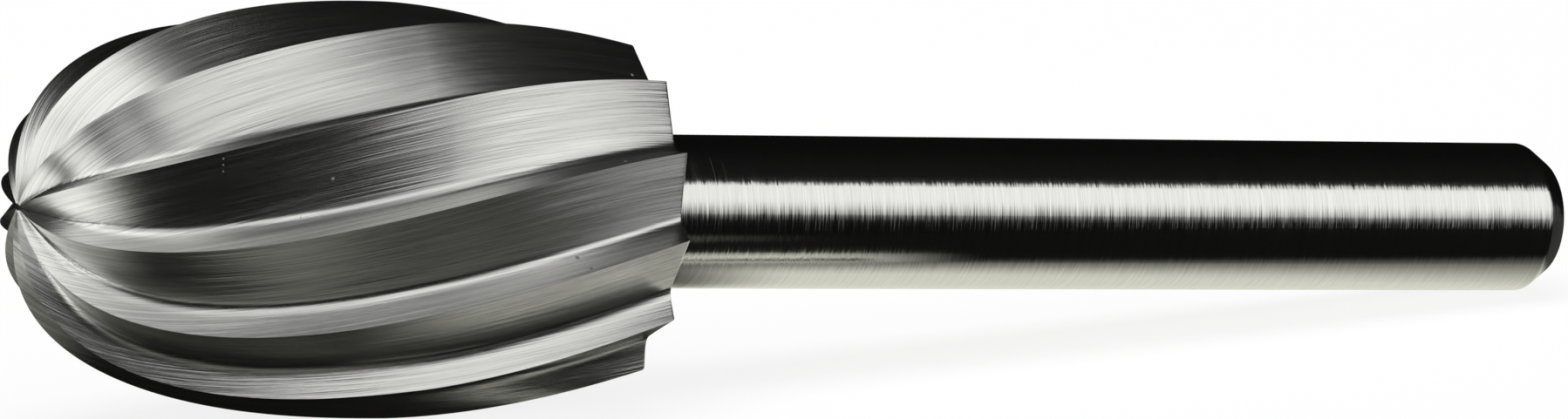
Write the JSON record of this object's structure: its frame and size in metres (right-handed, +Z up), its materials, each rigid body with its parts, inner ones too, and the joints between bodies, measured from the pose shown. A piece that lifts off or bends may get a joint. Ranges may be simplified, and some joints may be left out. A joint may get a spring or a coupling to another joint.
{
  "type": "rotary burr",
  "caption": "Egg-shaped high speed steel rotary burr with twisted cutting teeth on a plain round shank, for deburring and shaping metal by hand.",
  "frame": {"origin": "middle of the burr's outline on the table that it lies on", "axes": "+X from the nose towards the shank's end, seen from above; +Z up; the shank's axis slopes down towards +X by the angle at which the burr comes to rest"},
  "size_m": [0.066, 0.0158, 0.0161],
  "materials": {
    "ground_steel": "ground bright steel with fine grinding lines"
  },
  "bodies": {
    "root": {"burr": "ground_steel"}
  },
  "joints": []
}
